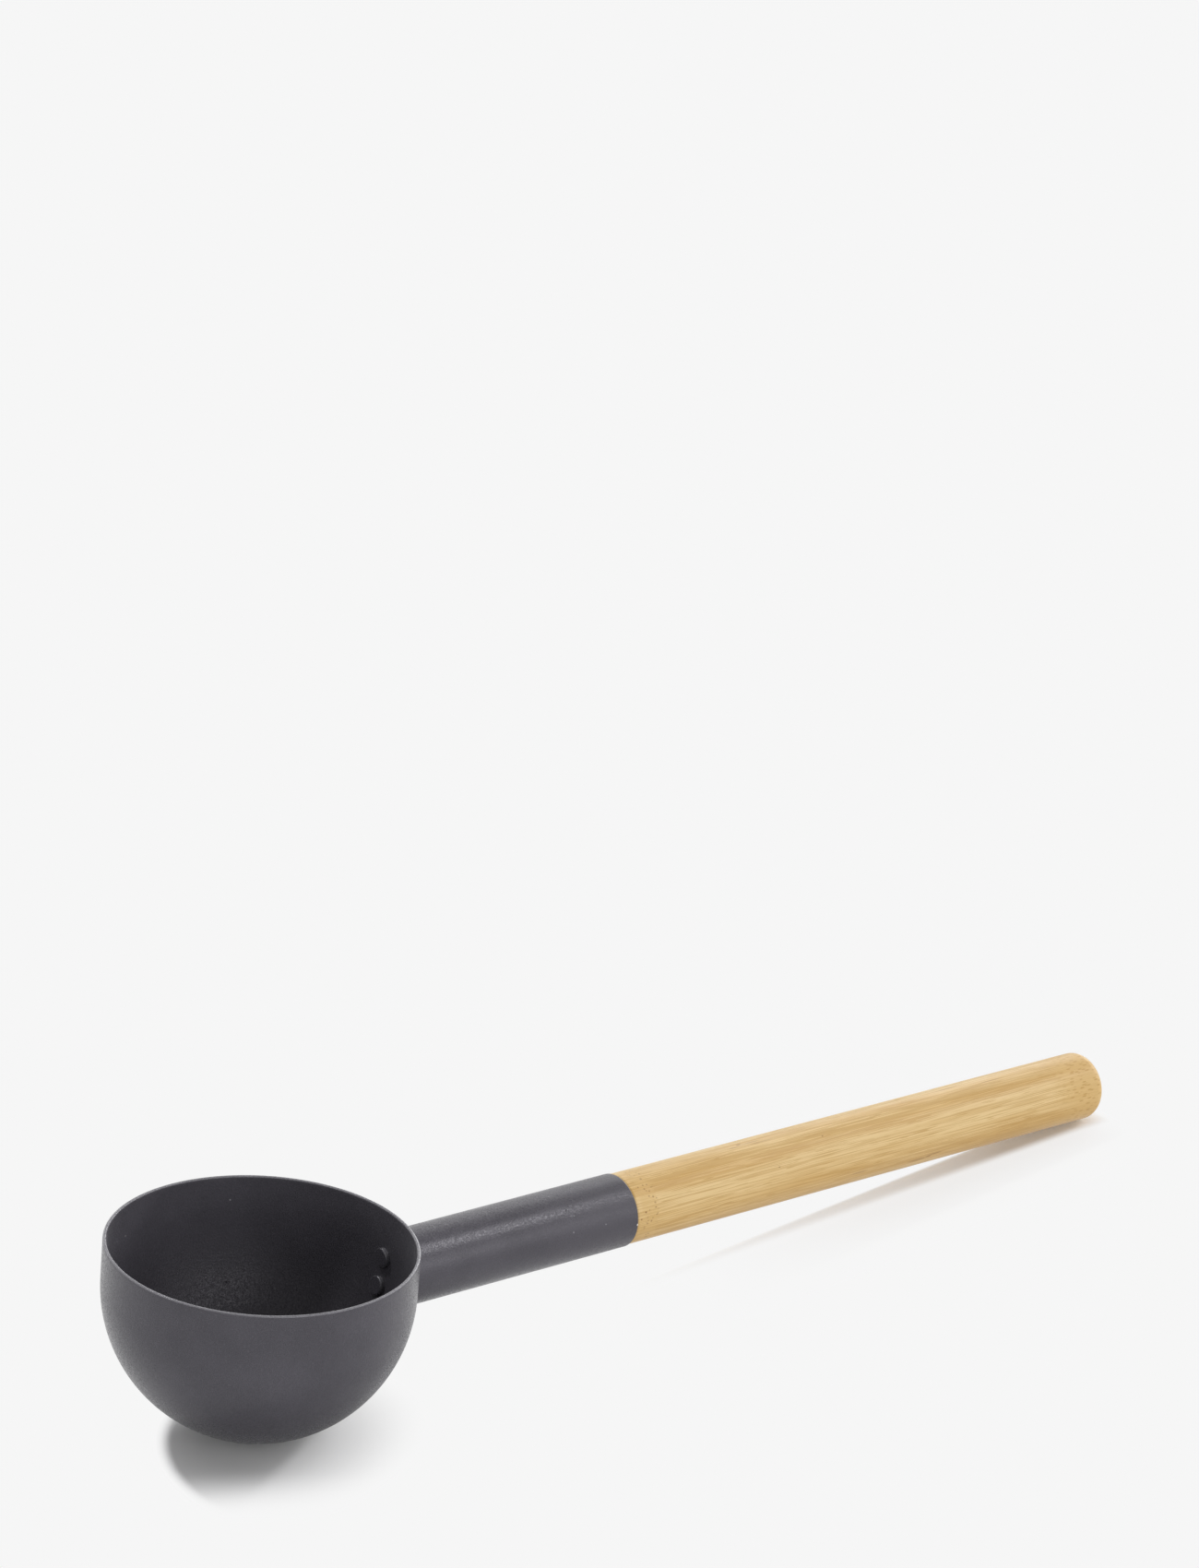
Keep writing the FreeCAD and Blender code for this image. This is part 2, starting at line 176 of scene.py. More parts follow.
def mixColour(tree, share, a, b):
    # inputs 6 and 7 and output 2 of this node are its colours
    a, b = (c if isinstance(c, bpy.types.NodeSocket) else (*c, 1) for c in (a, b))
    return add(tree, "ShaderNodeMix", {"Factor": share, 6: a, 7: b}, data_type="RGBA").outputs[2]


def uprightPlace(tree, drop=0.0):
    # where a point is on the upright ladle, in millimetres
    objectPlace = add(tree, "ShaderNodeTexCoord").outputs["Object"]
    origin = layDown @ Vector((0, 0, drop))
    return add(tree, "ShaderNodeMapping", {
        "Vector": objectPlace, "Location": origin, "Rotation": (0, ladle["tilt"], 0),
        "Scale": (mm, mm, mm)}, vector_type="TEXTURE").outputs["Vector"]


def stretched(tree, vector, scale):
    return add(tree, "ShaderNodeMapping", {"Vector": vector, "Scale": scale},
               vector_type="POINT").outputs["Vector"]


def spot(tree, place, centre, size, soft=0.6, turn=0.0):
    # 1 inside a small ellipsoid about a point, 0 outside it
    inner = add(tree, "ShaderNodeMapping", {
        "Vector": place, "Location": centre, "Scale": size, "Rotation": (0, 0, math.radians(turn))},
        vector_type="TEXTURE").outputs["Vector"]
    return ramp(tree, measure(tree, "LENGTH", inner), 1.0, 1.0 - soft)


def scatter(tree, vector, scale=1.0):
    return add(tree, "ShaderNodeTexVoronoi", {"Vector": vector, "Scale": scale})


def someCells(tree, cells, channel, above):
    # 1 in the scattered cells that draw more than this, 0 in the others
    drawn = add(tree, "ShaderNodeSeparateColor", {"Color": cells.outputs["Color"]}).outputs[channel]
    return compute(tree, "GREATER_THAN", drawn, above)


# dark coat of the bowl, the socket and the rivets

coat = dict(
    colour=(0.0545, 0.0515, 0.0615),
    shine=(0.94, 0.92, 0.99),          # tint of its reflections
    light=(0.120, 0.114, 0.130),       # tips of the grain
    thin=(0.200, 0.196, 0.212),        # painted highlight, on the lip of the bowl and the edges of the rivets
    shadeColour=(0.016, 0.014, 0.018),        # painted shade, down in the bowl
    dust=(0.42, 0.41, 0.43),           # pale specks
    bare=(0.75, 0.74, 0.73),           # metal where the coat is chipped
    roughness=0.30, glossSpread=0.13,  # and how much the grain changes it either way
    sheen=0.10, sheenRoughness=0.35,   # powdery, so it pales where it turns away
    grain=0.62, grainHeight=0.075,     # millimetres from one grain to the next, and their height
    ripple=2.6,                        # grains from one ripple to the next
    grainShare=0.8, rippleShare=0.55,  # what each gives to the height
    patchSize=20.0, patches=0.09,      # millimetres across, and how much lighter or darker
    patchRange=dict(low=0.35, high=0.65),
    tipRange=dict(low=0.48, high=0.80, toHigh=0.30),
    # how the grain breaks up the painted highlight on edges
    edgeHighlightRange=dict(low=0.30, high=0.60, toLow=0.45, toHigh=0.85),
    glossRange=dict(low=0.30, high=0.70),
    dustApart=5.0, dustRare=0.90, dustDepth=0.60,
    dustRange=dict(low=0.050, high=0.030),
    curl=dict(breaks=0.45, inner=0.3, height=1.6, pale=0.35),
    curlRange=dict(low=0.48, high=0.54),
    scratch=dict(stretch=(0.25, 0.25, 3.4), soft=0.5, pale=0.12),
    scratchRange=dict(low=0.53, high=0.60),
    dent=dict(soft=0.9, depth=2.5),
    chipSoft=0.35,
)


def coatMaterial(name, marks, edge=None, rougher=None, paintedShade=None):
    # the last three are functions that mask where a highlight is painted on an edge, where the coat is
    # duller, and where shade is painted
    material, tree, shader = newMaterial(name)
    place = uprightPlace(tree)
    grain = noise(tree, place, 1 / coat["grain"], detail=2.0, roughness=0.6)
    ripple = noise(tree, place, 1 / (coat["grain"] * coat["ripple"]), detail=1.0)
    patches = noise(tree, place, 1 / coat["patchSize"], detail=3.0, roughness=0.6)
    height = plus(tree, times(tree, grain, coat["grainShare"]),
                  times(tree, ripple, coat["rippleShare"]))
    darkPatch = tuple(c * (1 - coat["patches"]) for c in coat["colour"])
    palePatch = tuple(c * (1 + coat["patches"]) for c in coat["colour"])
    tone = mixColour(tree, ramp(tree, patches, **coat["patchRange"]), darkPatch, palePatch)
    tone = mixColour(tree, ramp(tree, grain, **coat["tipRange"]), tone, coat["light"])
    # painted shade, deepening down in the bowl
    if paintedShade:
        tone = mixColour(tree, paintedShade(tree, place), tone, coat["shadeColour"])

    # loose dust: a few tiny pale specks, far apart, and those that can be seen one by one
    cells = scatter(tree, place, 1 / coat["dustApart"])
    dust = times(tree, ramp(tree, cells.outputs["Distance"], **coat["dustRange"]),
                 someCells(tree, cells, "Red", coat["dustRare"]))
    specks = [spot(tree, place, centre, (reach,) * 3) for centre, reach in marks.get("specks", ())]
    tone = mixColour(tree, times(tree, strongest(tree, [dust] + specks), coat["dustDepth"]),
                     tone, coat["dust"])

    curl = coat["curl"]
    for centre, reach, thick in marks.get("curls", ()):      # coat that ran before it dried
        off = compute(tree, "ABSOLUTE", minus(tree, measure(tree, "DISTANCE", place, centre), reach))
        broken = ramp(tree, noise(tree, place, curl["breaks"], detail=1.0), **coat["curlRange"])
        line = times(tree, ramp(tree, off, thick, thick * curl["inner"]), broken)
        height = plus(tree, height, times(tree, line, curl["height"]))
        tone = mixColour(tree, times(tree, line, curl["pale"]), tone, coat["light"])

    scratch = coat["scratch"]
    for centre, size in marks.get("scratches", ()):          # fine and pale
        lines = noise(tree, stretched(tree, place, scratch["stretch"]), 1.0, detail=1.0)
        line = times(tree, spot(tree, place, centre, size, scratch["soft"]),
                     ramp(tree, lines, **coat["scratchRange"]))
        tone = mixColour(tree, times(tree, line, scratch["pale"]), tone, coat["dust"])

    # a painted highlight on edges, broken up by the grain
    if edge:
        paintedEdgeHighlight = times(tree, edge(tree, place), ramp(tree, grain, **coat["edgeHighlightRange"]))
        tone = mixColour(tree, paintedEdgeHighlight, tone, coat["thin"])
    for centre, reach in marks.get("dents", ()):
        pit = spot(tree, place, centre, (reach,) * 3, coat["dent"]["soft"])
        height = minus(tree, height, times(tree, pit, coat["dent"]["depth"]))
    for centre, size in marks.get("chips", ()):
        tone = mixColour(tree, spot(tree, place, centre, size, coat["chipSoft"]), tone, coat["bare"])

    roughness = ramp(tree, grain, **coat["glossRange"],
                     toLow=coat["roughness"] + coat["glossSpread"],
                     toHigh=coat["roughness"] - coat["glossSpread"])
    if rougher:
        roughness = plus(tree, roughness, rougher(tree, place))
    bump = add(tree, "ShaderNodeBump", {
        "Strength": 1.0, "Distance": coat["grainHeight"] * mm, "Height": height})
    tree.links.new(tone, shader.inputs["Base Color"])
    tree.links.new(roughness, shader.inputs["Roughness"])
    tree.links.new(bump.outputs["Normal"], shader.inputs["Normal"])
    shader.inputs["Specular Tint"].default_value = (*coat["shine"], 1)
    shader.inputs["Sheen Weight"].default_value = coat["sheen"]
    shader.inputs["Sheen Roughness"].default_value = coat["sheenRoughness"]
    return material


# bowl: spun sheet with a rounded lip

bowl = dict(
    radius=50.0, wall=1.2, band=14.2, lip=0.5,
    around=240, down=60, bandSteps=11, lipSteps=4,
    rimGap=0.001, sharp=1.2,           # edges at the rim's height that turn more than this, in radians
    lipHighlight=(0.50, 0.15),              # below the rim, where the painted highlight on the lip starts and is full
    skin=(0.3, 0.9),                   # in from the outside, where the inner skin starts and is full
    insideRougher=0.20,
    paintedShadeRange=dict(low=6, high=-24, toHigh=0.70),            # painted shade, growing down the bowl
    specks=[((19.2, 44.9, 5.8), 0.35), ((-21.9, 43.6, 3.1), 0.4), ((-27.0, 40.6, 3.6), 0.3)],
    dents=[((16.6, 40.6, -21.5), 0.5)],
    scratches=[((16.4, 36.5, -27.5), (9, 6, 1.6)), ((45.9, 8.0, -14.4), (2, 3, 0.7))],
)


def makeBowl(material):
    bm = bmesh.new()
    r = bowl["radius"]
    bottom = bm.verts.new((0, 0, -r))
    side = swing(bm, bottom, (0, 0), -quarterTurn, bowl["down"])
    run(bm, side, (r, bowl["band"]), bowl["bandSteps"])
    turnAbout(bm, (0, 0, 0), (0, 0, 1), bowl["around"])
    bmesh.ops.solidify(bm, geom=bm.faces[:], thickness=bowl["wall"])
    bm.normal_update()
    rim = [e for e in bm.edges
           if all(abs(v.co.z - bowl["band"]) < bowl["rimGap"] for v in e.verts)
           and len(e.link_faces) == 2 and e.calc_face_angle() > bowl["sharp"]]
    bmesh.ops.bevel(bm, geom=rim, offset=bowl["lip"], offset_type="OFFSET", affect="EDGES",
                    segments=bowl["lipSteps"], profile=0.5, material=-1, clamp_overlap=True)
    return finishPiece("spun_bowl", bm, material)


# painted highlight: the coat is made paler along the lip
def bowlLipHighlight(tree, place):
    start, full = bowl["lipHighlight"]
    return ramp(tree, axisOf(tree, place, "Z"), bowl["band"] - start, bowl["band"] - full)


def bowlInside(tree, place):
    # 1 on the inner skin, 0 on the outer one, in the band as well as in the round
    fromMiddle = add(tree, "ShaderNodeCombineXYZ", {
        "X": axisOf(tree, place, "X"), "Y": axisOf(tree, place, "Y"),
        "Z": compute(tree, "MINIMUM", axisOf(tree, place, "Z"), 0.0)}).outputs["Vector"]
    start, full = bowl["skin"]
    return ramp(tree, measure(tree, "LENGTH", fromMiddle), bowl["radius"] - start, bowl["radius"] - full)


def insideRougher(tree, place):
    return times(tree, bowlInside(tree, place), bowl["insideRougher"])


# painted shade: the inner skin is darker toward the bottom of the bowl
def insidePaintedShade(tree, place):
    return times(tree, bowlInside(tree, place),
                 ramp(tree, axisOf(tree, place, "Z"), **bowl["paintedShadeRange"]))


# socket: only its coat is made here, and gets a little rougher toward the mouth

socket = dict(
    roughRange=dict(low=80, high=145, toHigh=0.10),
    specks=[((117.7, -12.0, -4.5), 0.35), ((131.3, -12.1, -4.7), 0.3)],
    curls=[((119.1, -8.4, 1.4), 1.9, 0.45)],
    chips=[((145.0, -12.3, -7.9), (0.6, 0.5, 0.5))],
)


def socketMouth(tree, place):
    return ramp(tree, axisOf(tree, place, "X"), **socket["roughRange"])


# rivets: only their coat too

rivets = dict(
    radius=3.25, below=(2.559, 14.247),                      # degrees under the round's middle
    edge=(0.30, 0.05),                 # in from the rim of a head, where the painted highlight starts and is full
    # the side of the heads where the painted highlight is
    litRange=dict(low=0.6, high=-0.8),
)


def rivetEdgeHighlight(tree, place):
    # a painted highlight on the rounded edge of each head, on the side where the light catches it
    off = []
    for below in rivets["below"]:
        a = math.radians(below)
        cross = add(tree, "ShaderNodeVectorMath", {0: place, 1: (math.cos(a), 0, -math.sin(a))},
                    operation="CROSS_PRODUCT").outputs["Vector"]
        off.append(measure(tree, "LENGTH", cross))
    nearest = compute(tree, "MINIMUM", *off)
    start, full = rivets["edge"]
    return times(tree, ramp(tree, nearest, rivets["radius"] - start, rivets["radius"] - full),
                 ramp(tree, axisOf(tree, place, "Y"), **rivets["litRange"]))


# handle: a turned bamboo rod with a tenon in the socket

grip = dict(
    tenonStart=75.2, shoulder=145.2, end=363.6,
    tenonRadius=11.0, chamfer=1.0, radius=12.1, endRound=4.5,
    around=160, tenonSteps=30, steps=218, roundSteps=12, endSteps=8,
)
bamboo = dict(
    pale=(0.715, 0.522, 0.256),
    honey=(0.605, 0.397, 0.152),
    line=(0.440, 0.242, 0.050),
    knot=(0.260, 0.120, 0.028),
    specular=0.38,
    roughness=0.42, roughRange=dict(low=0.3, high=0.75),
    smoother=0.04, rougher=0.10,       # between the thick strands, and on them
    layers=(0.0, 0.49, 0.87),          # across the glued layers, which the camera sees edge on
    drift=dict(along=0.015, across=0.05), driftReach=6.0,    # how the layers wander
    upperCrowd=(2.5, 5.5, 8.0, 11.0),  # fibres crowd together from here, fully from and to here
    undersideShade=(-4.5, -9.0),           # and toward the underside, fibres that also stand for painted shade: more of them, and a honey tone
    # a slow change of colour, and where the fibres gather
    broad=dict(along=0.010, across=0.22, detail=2.0, roughness=0.6),
    groups=dict(along=0.030, across=0.30, detail=2.0, roughness=0.6),
    # honey tone where the fibres crowd, and painted shade on the underside
    toneRange=dict(low=0.38, high=0.82), toneInCrowdAndShade=0.17,
    moreInCrowd=0.085, moreInGroups=0.22,
    # fibres of four thicknesses, as thin dark lines
    strands=dict(
        thick=dict(along=0.018, across=1.7, start=0.61, full=0.67, depth=0.32),
        thin=dict(along=0.030, across=2.5, start=0.59, full=0.65, depth=0.55),
        short=dict(along=0.10, across=2.9, start=0.63, full=0.70, depth=0.62),
        fine=dict(along=0.028, across=4.2, start=0.56, full=0.63, depth=0.50),
    ),
    # a node of the cane beside the socket: a ring of dark dots
    node=dict(at=151.0, wobbles=0.15, wobble=5.0, honey=0.40),
    nodeRange=dict(low=3.6, high=1.6),
    dots=dict(spacing=(0.75, 0.85, 0.85), rare=0.55, depth=0.50),
    dotRange=dict(low=0.40, high=0.24),
    # the cut through another node at the end, which starts and is full this far from it
    endCut=dict(start=28, full=12, honey=0.75),
    dashes=dict(spacing=(0.30, 1.05, 1.05), depth=0.58),
    dashRange=dict(low=0.42, high=0.20),
    markDepth=0.85, pitDepth=1.5, relief=0.03,
)
# marks that can be seen one by one: millimetres from the socket, degrees round the axis,
# half length, half width, depth of colour
bambooMarks = [
    (3.5, 122, 0.5, 0.35, 0.7), (6.0, 131, 0.4, 0.3, 0.6), (8.5, 127, 0.5, 0.3, 0.6),
    (9.0, 146, 0.4, 0.3, 0.6), (3.6, 164, 0.55, 0.5, 1.0), (5.2, 162, 0.3, 0.3, 0.7),
    (8.0, 160, 0.5, 0.35, 0.8), (8.2, 172, 0.5, 0.3, 0.7), (1.6, 174, 0.5, 0.4, 0.9),
    (53, 88, 1.5, 0.7, 0.6), (50.0, 93, 3.0, 0.4, 0.5), (58, 90, 6.0, 0.4, 0.5),
    (62, 96, 7.0, 0.3, 0.5), (63, 150, 0.5, 0.3, 0.8), (86, 118, 0.5, 0.35, 0.9),
    (100, 199, 5.0, 0.8, 0.35), (128, 208, 6.0, 0.9, 0.5), (133, 206, 1.8, 0.7, 0.7),
    (136, 203, 4.0, 0.4, 0.7), (150, 85, 7.0, 0.5, 0.4), (170, 95, 8.0, 0.45, 0.35),
    (172, 225, 7.0, 0.8, 0.5),
]


def makeGrip(material):
    bm = bmesh.new()
    z = -ladle["handleDrop"]
    core = grip["end"] - grip["endRound"]
    first = bm.verts.new((grip["tenonStart"], 0, z))
    tip = run(bm, first, (grip["tenonStart"], z + grip["tenonRadius"] - grip["chamfer"]))
    cut = run(bm, tip, (grip["tenonStart"] + grip["chamfer"], z + grip["tenonRadius"]))
    neck = run(bm, cut, (grip["shoulder"], z + grip["tenonRadius"]), grip["tenonSteps"])
    step = run(bm, neck, (grip["shoulder"], z + grip["radius"]))
    far = run(bm, step, (core, z + grip["radius"]), grip["steps"])
    face = swing(bm, far, (core, z + grip["radius"] - grip["endRound"]), quarterTurn, grip["roundSteps"])
    run(bm, face, (grip["end"], z), grip["endSteps"])
    turnAbout(bm, (0, 0, z), (1, 0, 0), grip["around"])
    return finishPiece("bamboo_grip", bm, material)


def fibreNoise(tree, place, along, across, detail=1.0, roughness=0.5):
    # a noise drawn out along the handle
    return noise(tree, stretched(tree, place, (along, across, across)), 1.0, detail, roughness)


# where the fibres crowd, and toward the underside a painted shade
def fibreCrowdAndUndersideShade(tree, place):
    drift = fibreNoise(tree, place, **bamboo["drift"])
    across = plus(tree, measure(tree, "DOT_PRODUCT", place, bamboo["layers"]),
                  sway(tree, drift, bamboo["driftReach"]))
    start, full, fullTo, end = bamboo["upperCrowd"]
    upper = times(tree, ramp(tree, across, start, full), ramp(tree, across, end, fullTo))
    return strongest(tree, [upper, ramp(tree, across, *bamboo["undersideShade"])])


def markSpots(tree, place):
    spots = []
    for fromMouth, turn, half, width, depth in bambooMarks:
        a = math.radians(turn)
        centre = (grip["shoulder"] + fromMouth, grip["radius"] * math.cos(a), grip["radius"] * math.sin(a))
        spots.append(times(tree, spot(tree, place, centre, (half, width, width)), depth))
    return strongest(tree, spots)


def bambooMaterial(name):
    material, tree, shader = newMaterial(name)
    place = uprightPlace(tree, -ladle["handleDrop"])
    along = axisOf(tree, place, "X")
    crowdAndUndersideShade = fibreCrowdAndUndersideShade(tree, place)
    broad = fibreNoise(tree, place, **bamboo["broad"])
    groups = fibreNoise(tree, place, **bamboo["groups"])
    more = plus(tree, times(tree, crowdAndUndersideShade, bamboo["moreInCrowd"]),
                sway(tree, groups, bamboo["moreInGroups"]))
    strands, lines = {}, []
    for kind, strand in bamboo["strands"].items():
        strands[kind] = fibreNoise(tree, place, strand["along"], strand["across"])
        lines.append(ramp(tree, plus(tree, strands[kind], more), strand["start"], strand["full"],
                          toHigh=strand["depth"]))

    node, endCut, dots, dashes = (bamboo[part] for part in ("node", "endCut", "dots", "dashes"))
    wobble = sway(tree, noise(tree, place, node["wobbles"], detail=1.0), node["wobble"])
    fromNode = compute(tree, "ABSOLUTE", plus(tree, minus(tree, along, node["at"]), wobble))
    atNode = ramp(tree, fromNode, **bamboo["nodeRange"])
    dotCells = scatter(tree, stretched(tree, place, dots["spacing"]))
    dotMask = together(tree, [ramp(tree, dotCells.outputs["Distance"], **bamboo["dotRange"]),
                              someCells(tree, dotCells, "Green", dots["rare"]), atNode])
    atEnd = ramp(tree, along, grip["end"] - endCut["start"], grip["end"] - endCut["full"])
    dashCells = scatter(tree, stretched(tree, place, dashes["spacing"]))
    dashMask = times(tree, ramp(tree, dashCells.outputs["Distance"], **bamboo["dashRange"]), atEnd)
    marks = markSpots(tree, place)

    # the colour turns honey at random, where the fibres crowd, and as painted shade on the underside
    toneWithShade = plus(tree, broad, times(tree, crowdAndUndersideShade, bamboo["toneInCrowdAndShade"]))
    tone = mixColour(tree, ramp(tree, toneWithShade, **bamboo["toneRange"]), bamboo["pale"], bamboo["honey"])
    tone = mixColour(tree, strongest(tree, lines), tone, bamboo["line"])
    for mask, depth, colour in (
            (atNode, node["honey"], "honey"), (atEnd, endCut["honey"], "honey"),
            (dashMask, dashes["depth"], "line"), (dotMask, dots["depth"], "knot"),
            (marks, bamboo["markDepth"], "knot")):
        tone = mixColour(tree, times(tree, mask, depth), tone, bamboo[colour])

    roughness = ramp(tree, strands["thick"], **bamboo["roughRange"],
                     toLow=bamboo["roughness"] - bamboo["smoother"],
                     toHigh=bamboo["roughness"] + bamboo["rougher"])
    pits = times(tree, strongest(tree, [dotMask, marks]), bamboo["pitDepth"])
    height = minus(tree, times(tree, strands["thin"], -1.0), pits)
    bump = add(tree, "ShaderNodeBump", {"Strength": 1.0, "Distance": bamboo["relief"] * mm, "Height": height})
    tree.links.new(tone, shader.inputs["Base Color"])
    tree.links.new(roughness, shader.inputs["Roughness"])
    tree.links.new(bump.outputs["Normal"], shader.inputs["Normal"])
    shader.inputs["Specular IOR Level"].default_value = bamboo["specular"]
    return material


# pieces

# painted highlight on the lip and painted shade down in the bowl; painted highlight on the rivets' edges
bowlCoat = coatMaterial("dark_coat_bowl", bowl, edge=bowlLipHighlight, rougher=insideRougher, paintedShade=insidePaintedShade)
socketCoat = coatMaterial("dark_coat_socket", socket, rougher=socketMouth)
rivetCoat = coatMaterial("dark_coat_rivets", rivets, edge=rivetEdgeHighlight)
gripBamboo = bambooMaterial("bamboo")
print("coats and bamboo mixed")

bowlPiece = makeBowl(bowlCoat)
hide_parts("bowl")
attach(bowlPiece, "root")

gripPiece = makeGrip(gripBamboo)
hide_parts("bamboo_handle")
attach(gripPiece, "root")

for nodeName, material in (("handle_socket", socketCoat), ("rivets", rivetCoat)):
    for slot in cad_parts[nodeName].material_slots:
        slot.material = material
print("pieces dressed")


# floor, light and camera, in metres

studio = dict(
    paper=(0.92, 0.92, 0.92), floorSize=12.0,
    under=(0.30, 0.30, 0.30),          # painted shadow, on the floor close under the bowl
    # painted shadow: where the bowl's reflections see the floor dark, and where the shadow's core is darkened
    paintedShadowInReflections=dict(centre=(-0.165, -0.020, 0), size=(0.060, 0.056, 1), soft=0.8),
    paintedShadowCore=dict(centre=(-0.170, -0.006, 0), size=(0.046, 0.036, 1), soft=0.9), paintedShadowDepth=0.38,
    mirroredFloor=dict(centre=(-0.150, -0.030, 0), size=(0.110, 0.095, 1), soft=0.5),
    world=0.235,                       # light from all round
    walls=0.922,                       # the background, as the camera sees it
    shine=1.0, ceiling=0.45,           # as reflections see it at the sides, and overhead
    wallTop=0.30, ceilingFrom=0.85,    # how steeply up the one ends and the other begins
    lampDistance=3.0,
)
# what the camera sees of the bowl's shadow: sharp on the left, softer toward the camera and the right
bowlShadow = dict(
    whole=dict(centre=(-0.1466, -0.0308, 0), size=(0.0625, 0.0525, 1), soft=0.10, turn=-72.7),
    strong=dict(centre=(-0.172, -0.010, 0), size=(0.066, 0.048, 1), soft=0.60),
    towards=(-0.568, -0.823, 0), towardsRange=dict(low=0.146, high=0.117),
    beside=(0.451, -0.893, 0), besideRange=dict(low=-0.0545, high=-0.0485, toLow=1.0, toHigh=0.80),
)
# and of the handle's: along its sharp edge, narrower toward the bowl, and a little beyond that
handleShadow = dict(
    away=(0.031, -1, 0), offset=0.0036,                      # out from under the handle
    narrowing=0.058,
    edgeRange=dict(low=0.0033, high=-0.0032),
    edgeGrows=dict(low=-0.01, high=0.165, smooth=False),
    beyondRange=dict(low=0.040, high=0.012, toHigh=0.20),
    beyondGrows=dict(low=0.01, high=0.13),
    beyondEnds=dict(low=0.215, high=0.188),
    nearSide=dict(low=-0.0022, high=-0.0004),
    farEnd=dict(low=0.212, high=0.204),
)
# softboxes so far off that they light evenly: degrees round from the camera to the right,
# degrees up, strength, degrees across
suns = [
    dict(name="key", turn=-123.7, rise=57.2, strength=0.92, spread=6),
    dict(name="second", turn=107, rise=42, strength=0.55, spread=20),
    dict(name="top", turn=180, rise=70, strength=0.30, spread=30),
    dict(name="rim", turn=124, rise=17, strength=0.60, spread=26),
    dict(name="right", turn=58, rise=20, strength=0.72, spread=36),
    dict(name="front", turn=26, rise=20, strength=0.64, spread=36),
    dict(name="left", turn=-75, rise=20, strength=0.36, spread=30),
    dict(name="back_left", turn=-152, rise=18, strength=0.36, spread=36),
    dict(name="back", turn=160, rise=14, strength=0.70, spread=30),
]
camera = dict(
    place=(-0.90523, -1.08985, 0.79649),
    aim=(-0.02290, 0.0, 0.18797),
    roll=0.0225,
    lens=109.765, sensor=36,
    farthest=50,
)


def raysThat(tree, *kinds):
    path = add(tree, "ShaderNodeLightPath").outputs
    return strongest(tree, [path[kind] for kind in kinds])


def floorFade(tree, place):
    # the shadow fades into the pale paper: 0 where it stays, 1 where it is gone
    x = axisOf(tree, place, "X")
    shape = together(tree, [
        spot(tree, place, **bowlShadow["whole"]), spot(tree, place, **bowlShadow["strong"]),
        ramp(tree, measure(tree, "DOT_PRODUCT", place, bowlShadow["towards"]), **bowlShadow["towardsRange"]),
        ramp(tree, measure(tree, "DOT_PRODUCT", place, bowlShadow["beside"]), **bowlShadow["besideRange"])])
    away = minus(tree, measure(tree, "DOT_PRODUCT", place, handleShadow["away"]), handleShadow["offset"])
    reach = minus(tree, away, times(tree, x, handleShadow["narrowing"]))
    edge = times(tree, ramp(tree, reach, **handleShadow["edgeRange"]),
                 ramp(tree, x, **handleShadow["edgeGrows"]))
    beyond = together(tree, [
        ramp(tree, away, **handleShadow["beyondRange"]), ramp(tree, x, **handleShadow["beyondGrows"]),
        ramp(tree, x, **handleShadow["beyondEnds"])])
    trail = together(tree, [
        strongest(tree, [edge, beyond]), ramp(tree, away, **handleShadow["nearSide"]),
        ramp(tree, x, **handleShadow["farEnd"])])
    return minus(tree, 1.0, strongest(tree, [shape, trail]))


def makeFloor():
    bm = bmesh.new()
    bmesh.ops.create_grid(bm, x_segments=1, y_segments=1, size=studio["floorSize"] / 2)
    mesh = bpy.data.meshes.new("floor")
    bm.to_mesh(mesh)
    bm.free()
    floor = bpy.data.objects.new("floor", mesh)
    bpy.context.scene.collection.objects.link(floor)
    material, tree, shader = newMaterial("pale_floor")
    shader.inputs["Roughness"].default_value = 1.0
    shader.inputs["Specular IOR Level"].default_value = 0.0
    place = add(tree, "ShaderNodeTexCoord").outputs["Object"]
    # painted shadow: under the bowl the floor's colour is dark for reflections, and darker in the shadow's
    # core
    under = times(tree, raysThat(tree, "Is Glossy Ray"), spot(tree, place, **studio["paintedShadowInReflections"]))
    core = ramp(tree, spot(tree, place, **studio["paintedShadowCore"]), 0.0, 1.0, toHigh=studio["paintedShadowDepth"])
    tree.links.new(mixColour(tree, strongest(tree, [under, core]), studio["paper"], studio["under"]),
                   shader.inputs["Base Color"])
    glow = add(tree, "ShaderNodeEmission", {"Strength": studio["walls"]}).outputs["Emission"]
    seen = times(tree, raysThat(tree, "Is Camera Ray"), floorFade(tree, place))
    mirrored = times(tree, raysThat(tree, "Is Glossy Ray", "Is Transmission Ray"),
                     minus(tree, 1.0, spot(tree, place, **studio["mirroredFloor"])))
    blend = add(tree, "ShaderNodeMixShader", {
        0: strongest(tree, [seen, mirrored]), 1: shader.outputs["BSDF"], 2: glow})
    tree.links.new(blend.outputs["Shader"], tree.nodes["Material Output"].inputs["Surface"])
    mesh.materials.append(material)


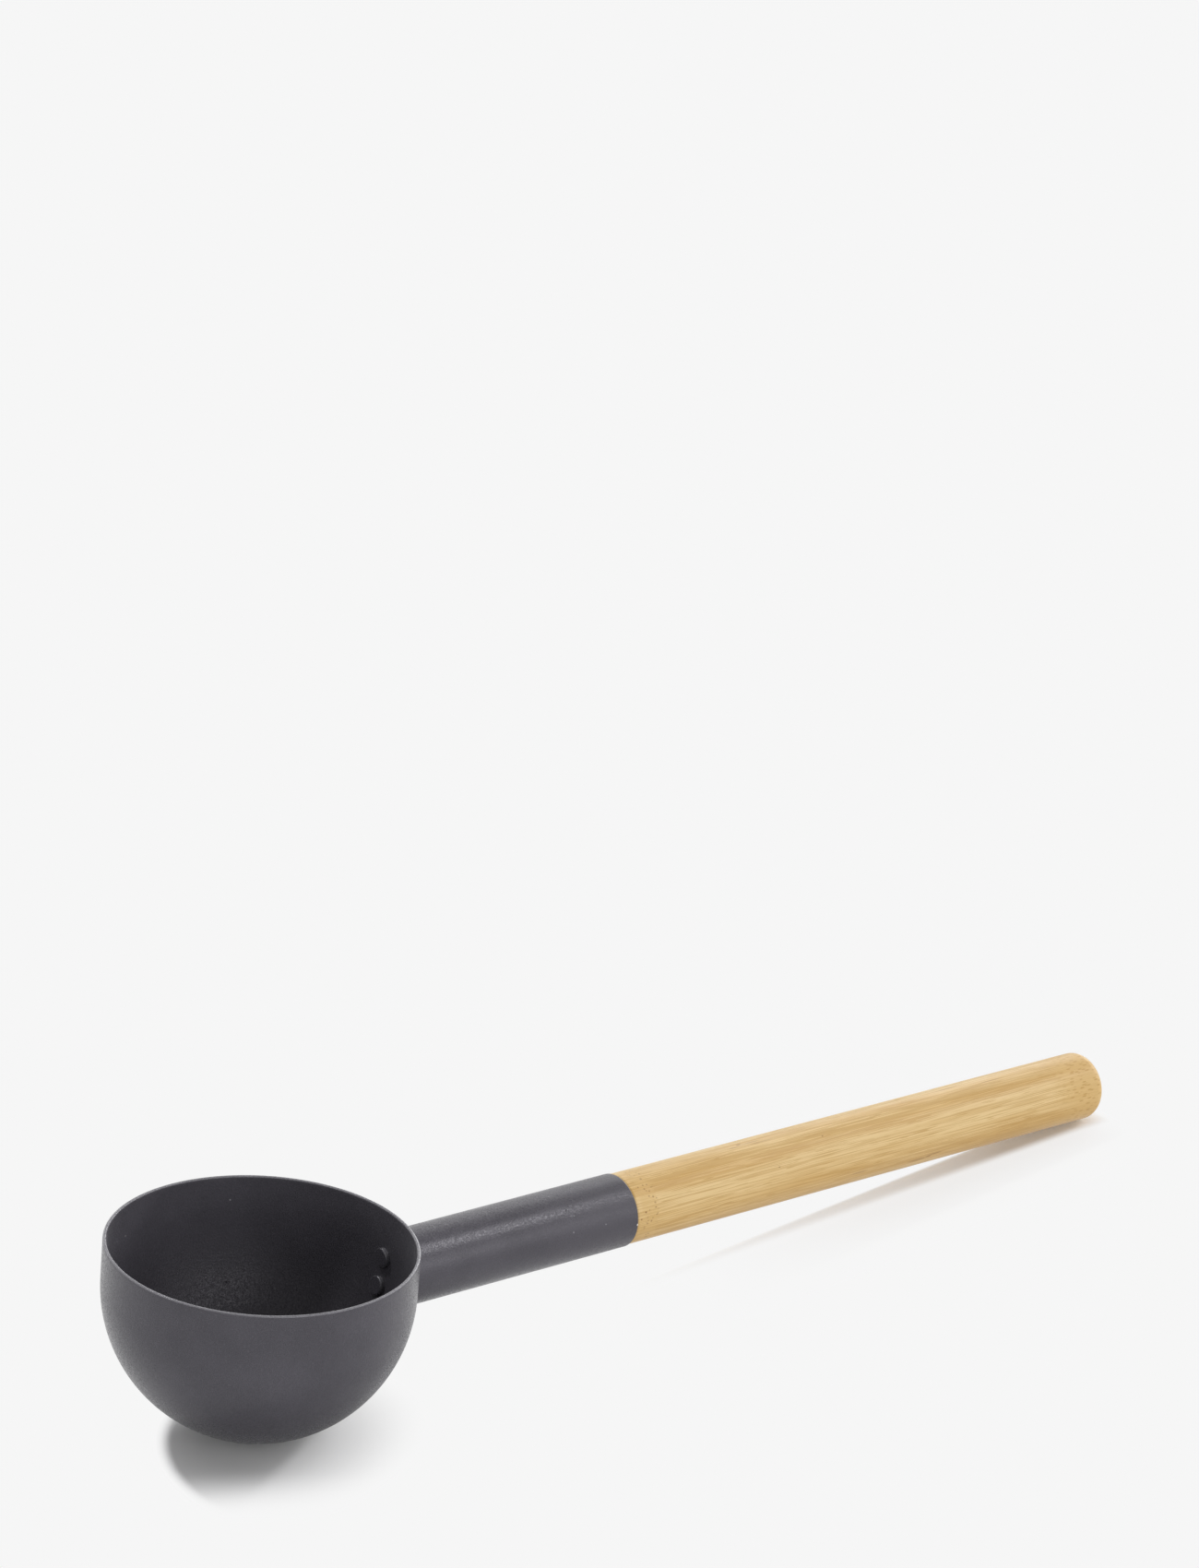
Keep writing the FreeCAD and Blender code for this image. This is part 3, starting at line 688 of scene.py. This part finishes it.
def makeLights():
    facing = Vector(camera["aim"]) - Vector(camera["place"])
    behindCamera = math.atan2(-facing.y, -facing.x)
    for settings in suns:
        sun = bpy.data.lights.new(settings["name"], "SUN")
        sun.energy = settings["strength"]
        sun.angle = math.radians(settings["spread"])
        lamp = bpy.data.objects.new(settings["name"], sun)
        a = behindCamera + math.radians(settings["turn"])
        b = math.radians(settings["rise"])
        towards = Vector((math.cos(a) * math.cos(b), math.sin(a) * math.cos(b), math.sin(b)))
        lamp.rotation_mode = "QUATERNION"
        lamp.rotation_quaternion = towards.to_track_quat("Z", "Y")
        lamp.location = towards * studio["lampDistance"]
        bpy.context.scene.collection.objects.link(lamp)


def makeWorld():
    # pale walls all round, as the camera and the reflections see them; dimmer as light
    world = bpy.data.worlds.new("studio")
    world.use_nodes = True
    tree = world.node_tree
    up = axisOf(tree, add(tree, "ShaderNodeTexCoord").outputs["Generated"], "Z")
    wall = ramp(tree, up, studio["wallTop"], studio["ceilingFrom"], studio["shine"], studio["ceiling"])
    strength = mixColour(tree, raysThat(tree, "Is Glossy Ray", "Is Transmission Ray"),
                         (studio["world"],) * 3, wall)
    strength = mixColour(tree, raysThat(tree, "Is Camera Ray"), strength, (studio["walls"],) * 3)
    tree.links.new(strength, tree.nodes["Background"].inputs["Strength"])
    tree.nodes["Background"].inputs["Color"].default_value = (1, 1, 1, 1)
    bpy.context.scene.world = world


def makeCamera():
    data = bpy.data.cameras.new("camera")
    data.lens = camera["lens"]
    data.sensor_width = camera["sensor"]
    data.clip_end = camera["farthest"]
    view = bpy.data.objects.new("camera", data)
    facing = Vector(camera["aim"]) - Vector(camera["place"])
    turn = facing.to_track_quat("-Z", "Y").to_matrix() @ Matrix.Rotation(camera["roll"], 3, "Z")
    view.matrix_world = Matrix.Translation(camera["place"]) @ turn.to_4x4()
    bpy.context.scene.collection.objects.link(view)
    bpy.context.scene.camera = view


makeFloor()
makeLights()
makeWorld()
makeCamera()
bpy.context.scene.view_settings.view_transform = "Standard"
print("stage, lights and camera set")
